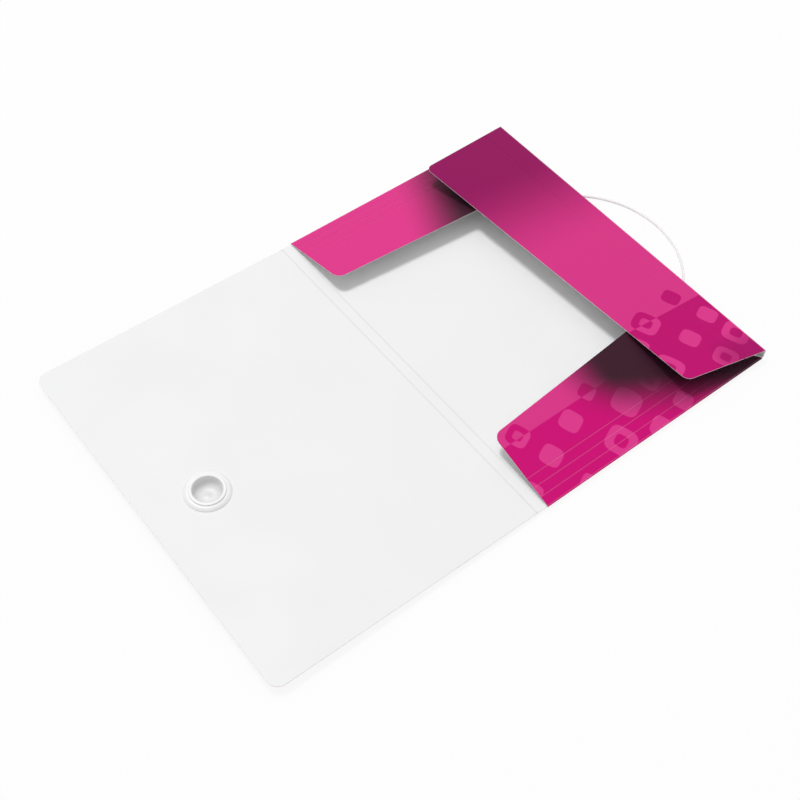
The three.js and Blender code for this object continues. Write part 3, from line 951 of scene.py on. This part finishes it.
RING_PROFILE = [
    (RING_HOLE_RADIUS, RING_FOOT),
    (RING_RADIUS, RING_FOOT),
    *(dome_point(step / DOME_STEPS) for step in range(DOME_STEPS + 1)),
    (RING_HOLE_RADIUS, RING_TOP),
]

turned_piece("button_cup_turned", CUP_PROFILE, "button_cup")
turned_piece("button_ring_turned", RING_PROFILE, "button_snap_ring")


# Elastic: a round braided cord on the same route as its solid

# From its end tag to the middle of its arc, in millimetres: out past the fore-edge crease and up from the
# closure's line, with its height, from 0 for lying on the table to 1 for its end at the tag
ELASTIC_HALF_ROUTE = [
    (-19.7, 78.1, 1), (-17.9, 77.3, 1), (-16.1, 76.4, 1), (-14.5, 75.6, 0.925), (-13.2, 75.0, 0.72),
    (-11.8, 74.4, 0.28), (-10.5, 73.8, 0.075), (-8.9, 73.0, 0), (-2.8, 69.3, 0), (5.3, 63.3, 0),
    (15.5, 53.1, 0), (23.7, 41.3, 0), (29.8, 28.3, 0), (33.5, 14.3, 0), (34.8, 0, 0),
]
ELASTIC_SIDES = 16
ELASTIC_PIECES_PER_POINT = 14
ELASTIC_SHARP_ANGLE = 60


def elastic_points():
    fore_edge = CREASE["wall_crease"].x / MM
    half = [
        Vector((fore_edge + out, aside, ELASTIC_LOW + (ELASTIC_HIGH - ELASTIC_LOW) * climb))
        for out, aside, climb in ELASTIC_HALF_ROUTE
    ]
    mirrored = [Vector((point.x, -point.y, point.z)) for point in reversed(half[:-1])]
    return [Vector((point.x, point.y + CLOSURE_LINE, point.z)) for point in half + mirrored]


def between(one, other, start, end, time):
    return one * ((end - time) / (end - start)) + other * ((time - start) / (end - start))


def smooth_route(points, pieces):
    """Curve through all the points, with no loops where they are close together."""
    ends = [2 * points[0] - points[1], *points, 2 * points[-1] - points[-2]]
    route = []
    for place in range(1, len(ends) - 2):
        a, b, c, d = ends[place - 1:place + 3]
        times = [0.0]
        for one, other in ((a, b), (b, c), (c, d)):
            times.append(times[-1] + math.sqrt((other - one).length))
        for step in range(pieces):
            time = times[1] + (times[2] - times[1]) * step / pieces
            before = between(a, b, times[0], times[1], time)
            middle = between(b, c, times[1], times[2], time)
            after = between(c, d, times[2], times[3], time)
            first = between(before, middle, times[0], times[2], time)
            second = between(middle, after, times[1], times[3], time)
            route.append(between(first, second, times[1], times[2], time))
    route.append(points[-1].copy())
    return route


def tube_vertices(route):
    """Rings of points round the route, in metres."""
    vertices = []
    for place, point in enumerate(route):
        ahead = route[min(place + 1, len(route) - 1)] - route[max(place - 1, 0)]
        side = ahead.cross(OVERHEAD).normalized()
        top = side.cross(ahead).normalized()
        for step in range(ELASTIC_SIDES):
            angle = 2 * math.pi * step / ELASTIC_SIDES
            reach = (side * math.cos(angle) + top * math.sin(angle)) * (ELASTIC_DIAMETER / 2)
            vertices.append((point + reach) * MM)
    return vertices


def tube_faces(lengths):
    """Faces of the tube, and the (along, around) place of each of their corners for the braid."""
    faces = []
    lays = []
    for place, run in enumerate(zip(lengths, lengths[1:])):
        low = place * ELASTIC_SIDES
        high = low + ELASTIC_SIDES
        for step in range(ELASTIC_SIDES):
            beside = (step + 1) % ELASTIC_SIDES
            faces.append((low + step, low + beside, high + beside, high + step))
            around = (step / ELASTIC_SIDES, (step + 1) / ELASTIC_SIDES)
            lays += [(run[0], around[0]), (run[0], around[1]), (run[1], around[1]), (run[1], around[0])]
    last = (len(lengths) - 1) * ELASTIC_SIDES
    faces += [tuple(range(ELASTIC_SIDES - 1, -1, -1)), tuple(range(last, last + ELASTIC_SIDES))]
    lays += [(0, 0)] * (2 * ELASTIC_SIDES)
    return faces, lays


def make_elastic():
    route = smooth_route(elastic_points(), ELASTIC_PIECES_PER_POINT)
    lengths = [0.0]
    for one, other in zip(route, route[1:]):
        lengths.append(lengths[-1] + (other - one).length)
    faces, lays = tube_faces(lengths)
    mesh = bpy.data.meshes.new("elastic_braided")
    mesh.from_pydata(tube_vertices(route), [], faces)
    layer = mesh.uv_layers.new(name="braid")
    layer.data.foreach_set("uv", [number for lay in lays for number in lay])
    mesh.materials.append(elastic_finish())
    cord = bpy.data.objects.new("elastic_braided", mesh)
    bpy.context.scene.collection.objects.link(cord)
    smooth_faces(cord, ELASTIC_SHARP_ANGLE)
    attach(cord, "back")
    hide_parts("elastic_cord")


make_elastic()


# Table and light

TABLE_REACH = 4
TABLE_DROP = 0.00005
TABLE_COLOUR = (0.9, 0.9, 0.9)
TABLE_GLOW_SHARE = 0.9
PLAIN_WHITE = (1, 1, 1)
ROOM_LIGHT_LOW = 0.15
ROOM_LIGHT_HIGH = 0.75
KEY_PLACE = (0.02, 1.95, 5.2)
KEY_TARGET = (0, 0, 0)
KEY_SIZE = 1.3
KEY_POWER = 143


def seen_rays(tree):
    """1 for what the camera sees, straight or in a gloss or through clear material."""
    path = tree.nodes.new("ShaderNodeLightPath")
    mirrored = maths(tree, "MAXIMUM", path.outputs["Is Glossy Ray"], path.outputs["Is Transmission Ray"])
    return maths(tree, "MAXIMUM", path.outputs["Is Camera Ray"], mirrored)


def mix_into_output(tree, share, first, second, output_kind):
    mixed = tree.nodes.new("ShaderNodeMixShader")
    feed_in_order(tree, mixed.inputs, (share, first.outputs[0], second.outputs[0]))
    output = tree.nodes.new(output_kind)
    feed(tree, output.inputs["Surface"], mixed.outputs[0])


def make_table():
    mesh = bpy.data.meshes.new("table")
    corners = [(x * TABLE_REACH, y * TABLE_REACH, 0) for x, y in ((-1, -1), (1, -1), (1, 1), (-1, 1))]
    mesh.from_pydata(corners, [], [(0, 1, 2, 3)])
    table = bpy.data.objects.new("table", mesh)
    table.location.z = -TABLE_DROP
    bpy.context.scene.collection.objects.link(table)
    material = bpy.data.materials.new("pale_table")
    material.use_nodes = True
    tree = material.node_tree
    tree.nodes.clear()
    matt = place_node(tree, "ShaderNodeBsdfDiffuse", Color=TABLE_COLOUR)
    glow = place_node(tree, "ShaderNodeEmission", Color=PLAIN_WHITE, Strength=1.0)
    share = product(tree, seen_rays(tree), TABLE_GLOW_SHARE)
    mix_into_output(tree, share, matt, glow, "ShaderNodeOutputMaterial")
    mesh.materials.append(material)


def light_room():
    world = bpy.data.worlds.new("studio")
    world.use_nodes = True
    tree = world.node_tree
    tree.nodes.clear()
    place = tree.nodes.new("ShaderNodeTexCoord")
    axes = place_node(tree, "ShaderNodeSeparateXYZ", Vector=place.outputs["Generated"])
    overhead = even_ramp(tree, axes.outputs["Z"], 0, 1, ROOM_LIGHT_LOW, ROOM_LIGHT_HIGH)
    around = place_node(tree, "ShaderNodeBackground", Color=PLAIN_WHITE, Strength=overhead)
    seen = place_node(tree, "ShaderNodeBackground", Color=PLAIN_WHITE, Strength=1.0)
    mix_into_output(tree, seen_rays(tree), around, seen, "ShaderNodeOutputWorld")
    bpy.context.scene.world = world


def add_key_soft_box():
    light = bpy.data.lights.new("key_soft_box", "AREA")
    light.shape = "DISK"
    light.size = KEY_SIZE
    light.energy = KEY_POWER
    lamp = bpy.data.objects.new("key_soft_box", light)
    bpy.context.scene.collection.objects.link(lamp)
    aim = (Vector(KEY_TARGET) - Vector(KEY_PLACE)).to_track_quat("-Z", "Y")
    lamp.matrix_world = Matrix.Translation(KEY_PLACE) @ aim.to_matrix().to_4x4()


make_table()
light_room()
add_key_soft_box()
bpy.context.scene.view_settings.view_transform = "Standard"
